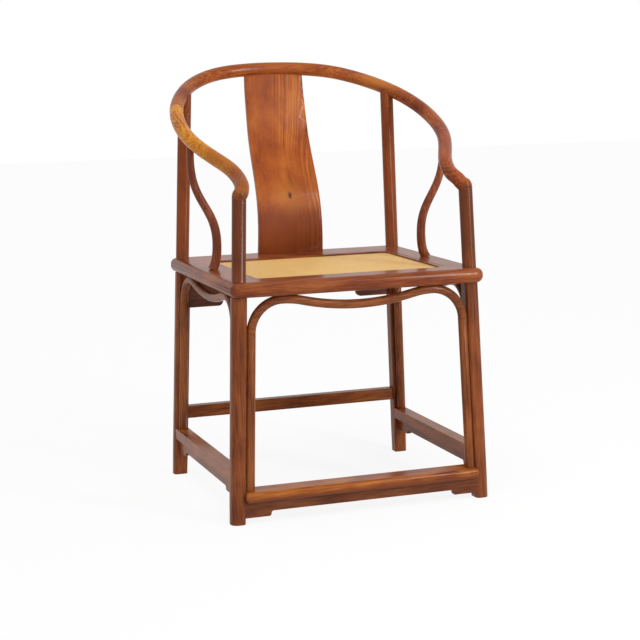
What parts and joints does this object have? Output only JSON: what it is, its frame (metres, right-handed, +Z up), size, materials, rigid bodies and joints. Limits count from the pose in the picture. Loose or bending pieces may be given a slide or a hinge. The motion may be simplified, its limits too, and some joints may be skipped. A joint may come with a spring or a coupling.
{
  "type": "horseshoe back armchair",
  "caption": "Wooden armchair with one continuous round-bar hoop for arms and back, curved splat, woven cane seat, round-bar arched aprons and stepped stretchers with a footrest.",
  "frame": {"origin": "on the floor, at the middle of the chair's whole outline seen from above", "axes": "+Z up, -Y towards the chair's front, +X to the right of someone who faces its front"},
  "size_m": [0.6302, 0.602, 0.9532],
  "materials": {
    "rosewood": "polished and waxed rosewood, satin",
    "cane": "fine woven cane, matt",
    "palm_fibre": "coarse twisted palm fibre cord, matt"
  },
  "bodies": {
    "root": {"arm_left": "rosewood", "arm_right": "rosewood", "back_splat": "rosewood", "cane_panel": "cane", "cane_strip_front": "rosewood", "cane_strip_left": "rosewood", "cane_strip_rear": "rosewood", "cane_strip_right": "rosewood", "crest_rail": "rosewood", "footrest": "rosewood", "footrest_apron": "rosewood", "front_arch_bar_left": "rosewood", "front_arch_bar_right": "rosewood", "front_arch_top": "rosewood", "front_leg_left": "rosewood", "front_leg_right": "rosewood", "palm_webbing": "palm_fibre", "rear_apron": "rosewood", "rear_leg_left": "rosewood", "rear_leg_right": "rosewood", "rear_stretcher": "rosewood", "scarf_pin_left": "rosewood", "scarf_pin_right": "rosewood", "seat_bearer_left": "rosewood", "seat_bearer_right": "rosewood", "seat_rail_front": "rosewood", "seat_rail_left": "rosewood", "seat_rail_rear": "rosewood", "seat_rail_right": "rosewood", "side_apron_left": "rosewood", "side_apron_right": "rosewood", "side_arch_front_bar_left": "rosewood", "side_arch_front_bar_right": "rosewood", "side_arch_rear_bar_left": "rosewood", "side_arch_rear_bar_right": "rosewood", "side_arch_top_left": "rosewood", "side_arch_top_right": "rosewood", "side_stretcher_left": "rosewood", "side_stretcher_right": "rosewood", "side_strut_left": "rosewood", "side_strut_right": "rosewood"}
  },
  "joints": []
}
